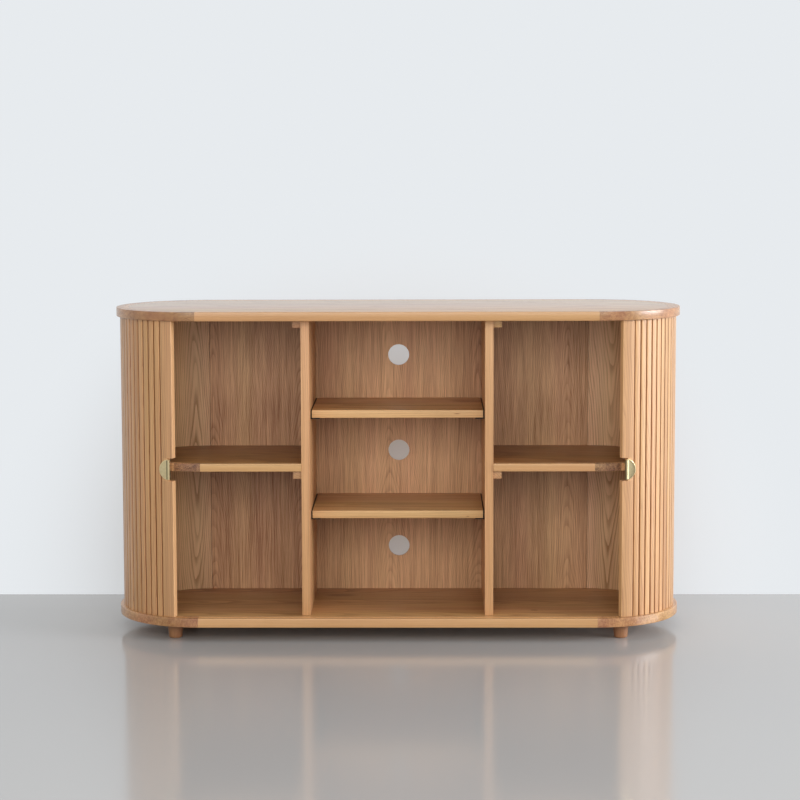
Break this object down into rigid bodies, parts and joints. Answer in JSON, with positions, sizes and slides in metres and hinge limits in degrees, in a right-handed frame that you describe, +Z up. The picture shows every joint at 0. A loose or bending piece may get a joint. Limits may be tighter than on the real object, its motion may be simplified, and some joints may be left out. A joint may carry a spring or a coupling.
{
  "type": "sideboard",
  "caption": "Oak sideboard with rounded ends, open centre shelves and two tambour doors with half-moon brass pulls.",
  "frame": {"origin": "on the floor, under the middle of the carcass", "axes": "+X along the length to the right seen from the front, +Y from the front to the back, +Z up"},
  "size_m": [1.4, 0.43, 0.804],
  "materials": {
    "oak_solid": "oiled solid oak",
    "oak_veneer": "oiled oak veneer",
    "oak_end_lipping": "oiled oak, bent, darker than the straight edges",
    "oak_inside": "oiled oak veneer, upright grain",
    "oak_slats": "oiled oak slats on brown canvas",
    "oak_hidden": "oiled oak",
    "satin_brass": "satin",
    "zinc_steel": "zinc plated",
    "black_metal": "matt black"
  },
  "bodies": {
    "carcass": {"back_panel": "oak_inside", "bottom_front_lipping": "oak_solid", "bottom_left_lipping": "oak_end_lipping", "bottom_panel": "oak_veneer", "bottom_rear_lipping": "oak_solid", "bottom_right_lipping": "oak_end_lipping", "front_left_foot": "oak_hidden", "front_left_foot_bolt": "zinc_steel", "front_right_foot": "oak_hidden", "front_right_foot_bolt": "zinc_steel", "left_corner_post": "oak_inside", "left_divider": "oak_solid", "left_end_lining": "oak_inside", "left_seam_batten": "oak_inside", "left_shelf_cleat": "oak_hidden", "left_shelf_corner_lipping": "oak_end_lipping", "left_shelf_front_lipping": "oak_solid", "left_side_shelf": "oak_veneer", "left_top_cleat": "oak_hidden", "lower_centre_shelf": "oak_solid", "lower_left_shelf_rail": "black_metal", "lower_right_shelf_rail": "black_metal", "rear_left_foot": "oak_hidden", "rear_left_foot_bolt": "zinc_steel", "rear_right_foot": "oak_hidden", "rear_right_foot_bolt": "zinc_steel", "right_corner_post": "oak_inside", "right_divider": "oak_solid", "right_end_lining": "oak_inside", "right_seam_batten": "oak_inside", "right_shelf_cleat": "oak_hidden", "right_shelf_corner_lipping": "oak_end_lipping", "right_shelf_front_lipping": "oak_solid", "right_side_shelf": "oak_veneer", "right_top_cleat": "oak_hidden", "top_front_lipping": "oak_solid", "top_left_lipping": "oak_end_lipping", "top_panel": "oak_veneer", "top_rear_lipping": "oak_solid", "top_right_lipping": "oak_end_lipping", "track_stop": "oak_hidden", "upper_centre_shelf": "oak_solid", "upper_left_shelf_rail": "black_metal", "upper_right_shelf_rail": "black_metal"},
    "left_door": {"left_curtain": "oak_slats", "left_stile": "oak_slats", "left_pull": "satin_brass", "left_pull_screw": "zinc_steel"},
    "left_slat_1": {"left_crossing_slat_1": "oak_slats"},
    "left_slat_2": {"left_crossing_slat_2": "oak_slats"},
    "left_slat_3": {"left_crossing_slat_3": "oak_slats"},
    "left_tail": {"left_curtain_tail": "oak_slats"},
    "right_door": {"right_curtain": "oak_slats", "right_stile": "oak_slats", "right_pull": "satin_brass", "right_pull_screw": "zinc_steel"},
    "right_slat_1": {"right_crossing_slat_1": "oak_slats"},
    "right_slat_2": {"right_crossing_slat_2": "oak_slats"},
    "right_slat_3": {"right_crossing_slat_3": "oak_slats"},
    "right_tail": {"right_curtain_tail": "oak_slats"}
  },
  "joints": [
    {"name": "left_door_turn", "type": "hinge", "parent": "carcass", "child": "left_door", "pos_m": [-0.485, 0, 0], "axis": [0, 0, 1], "range_deg": [0, 16.43]},
    {"name": "left_slat_1_turn", "type": "hinge", "parent": "carcass", "child": "left_slat_1", "pos_m": [-0.47773, -0.06837, 0], "axis": [0, 0, 1], "range_deg": [0, 12.15]},
    {"name": "left_slat_2_turn", "type": "hinge", "parent": "carcass", "child": "left_slat_2", "pos_m": [-0.46945, -0.24592, 0], "axis": [0, 0, 1], "range_deg": [0, 7.25]},
    {"name": "left_slat_3_turn", "type": "hinge", "parent": "carcass", "child": "left_slat_3", "pos_m": [-0.46117, -1.16898, 0], "axis": [0, 0, 1], "range_deg": [0, 2.35]},
    {"name": "left_tail_slide", "type": "slide", "parent": "carcass", "child": "left_tail", "axis": [-1, 0, 0], "range_m": [0, 0.0556]},
    {"name": "right_door_turn", "type": "hinge", "parent": "carcass", "child": "right_door", "pos_m": [0.485, 0, 0], "axis": [0, 0, -1], "range_deg": [0, 16.43]},
    {"name": "right_slat_1_turn", "type": "hinge", "parent": "carcass", "child": "right_slat_1", "pos_m": [0.47773, -0.06837, 0], "axis": [0, 0, -1], "range_deg": [0, 12.15]},
    {"name": "right_slat_2_turn", "type": "hinge", "parent": "carcass", "child": "right_slat_2", "pos_m": [0.46945, -0.24592, 0], "axis": [0, 0, -1], "range_deg": [0, 7.25]},
    {"name": "right_slat_3_turn", "type": "hinge", "parent": "carcass", "child": "right_slat_3", "pos_m": [0.46117, -1.16898, 0], "axis": [0, 0, -1], "range_deg": [0, 2.35]},
    {"name": "right_tail_slide", "type": "slide", "parent": "carcass", "child": "right_tail", "axis": [1, 0, 0], "range_m": [0, 0.0556]}
  ],
  "couplings": [
    {"joint": "left_slat_1_turn", "follows": "left_door_turn", "ratio": 0.73833},
    {"joint": "left_slat_2_turn", "follows": "left_door_turn", "ratio": 0.44022},
    {"joint": "left_slat_3_turn", "follows": "left_door_turn", "ratio": 0.1421},
    {"joint": "left_tail_slide", "follows": "left_door_turn", "m_per_rad": 0.19365},
    {"joint": "right_slat_1_turn", "follows": "right_door_turn", "ratio": 0.73833},
    {"joint": "right_slat_2_turn", "follows": "right_door_turn", "ratio": 0.44022},
    {"joint": "right_slat_3_turn", "follows": "right_door_turn", "ratio": 0.1421},
    {"joint": "right_tail_slide", "follows": "right_door_turn", "m_per_rad": 0.19365}
  ]
}
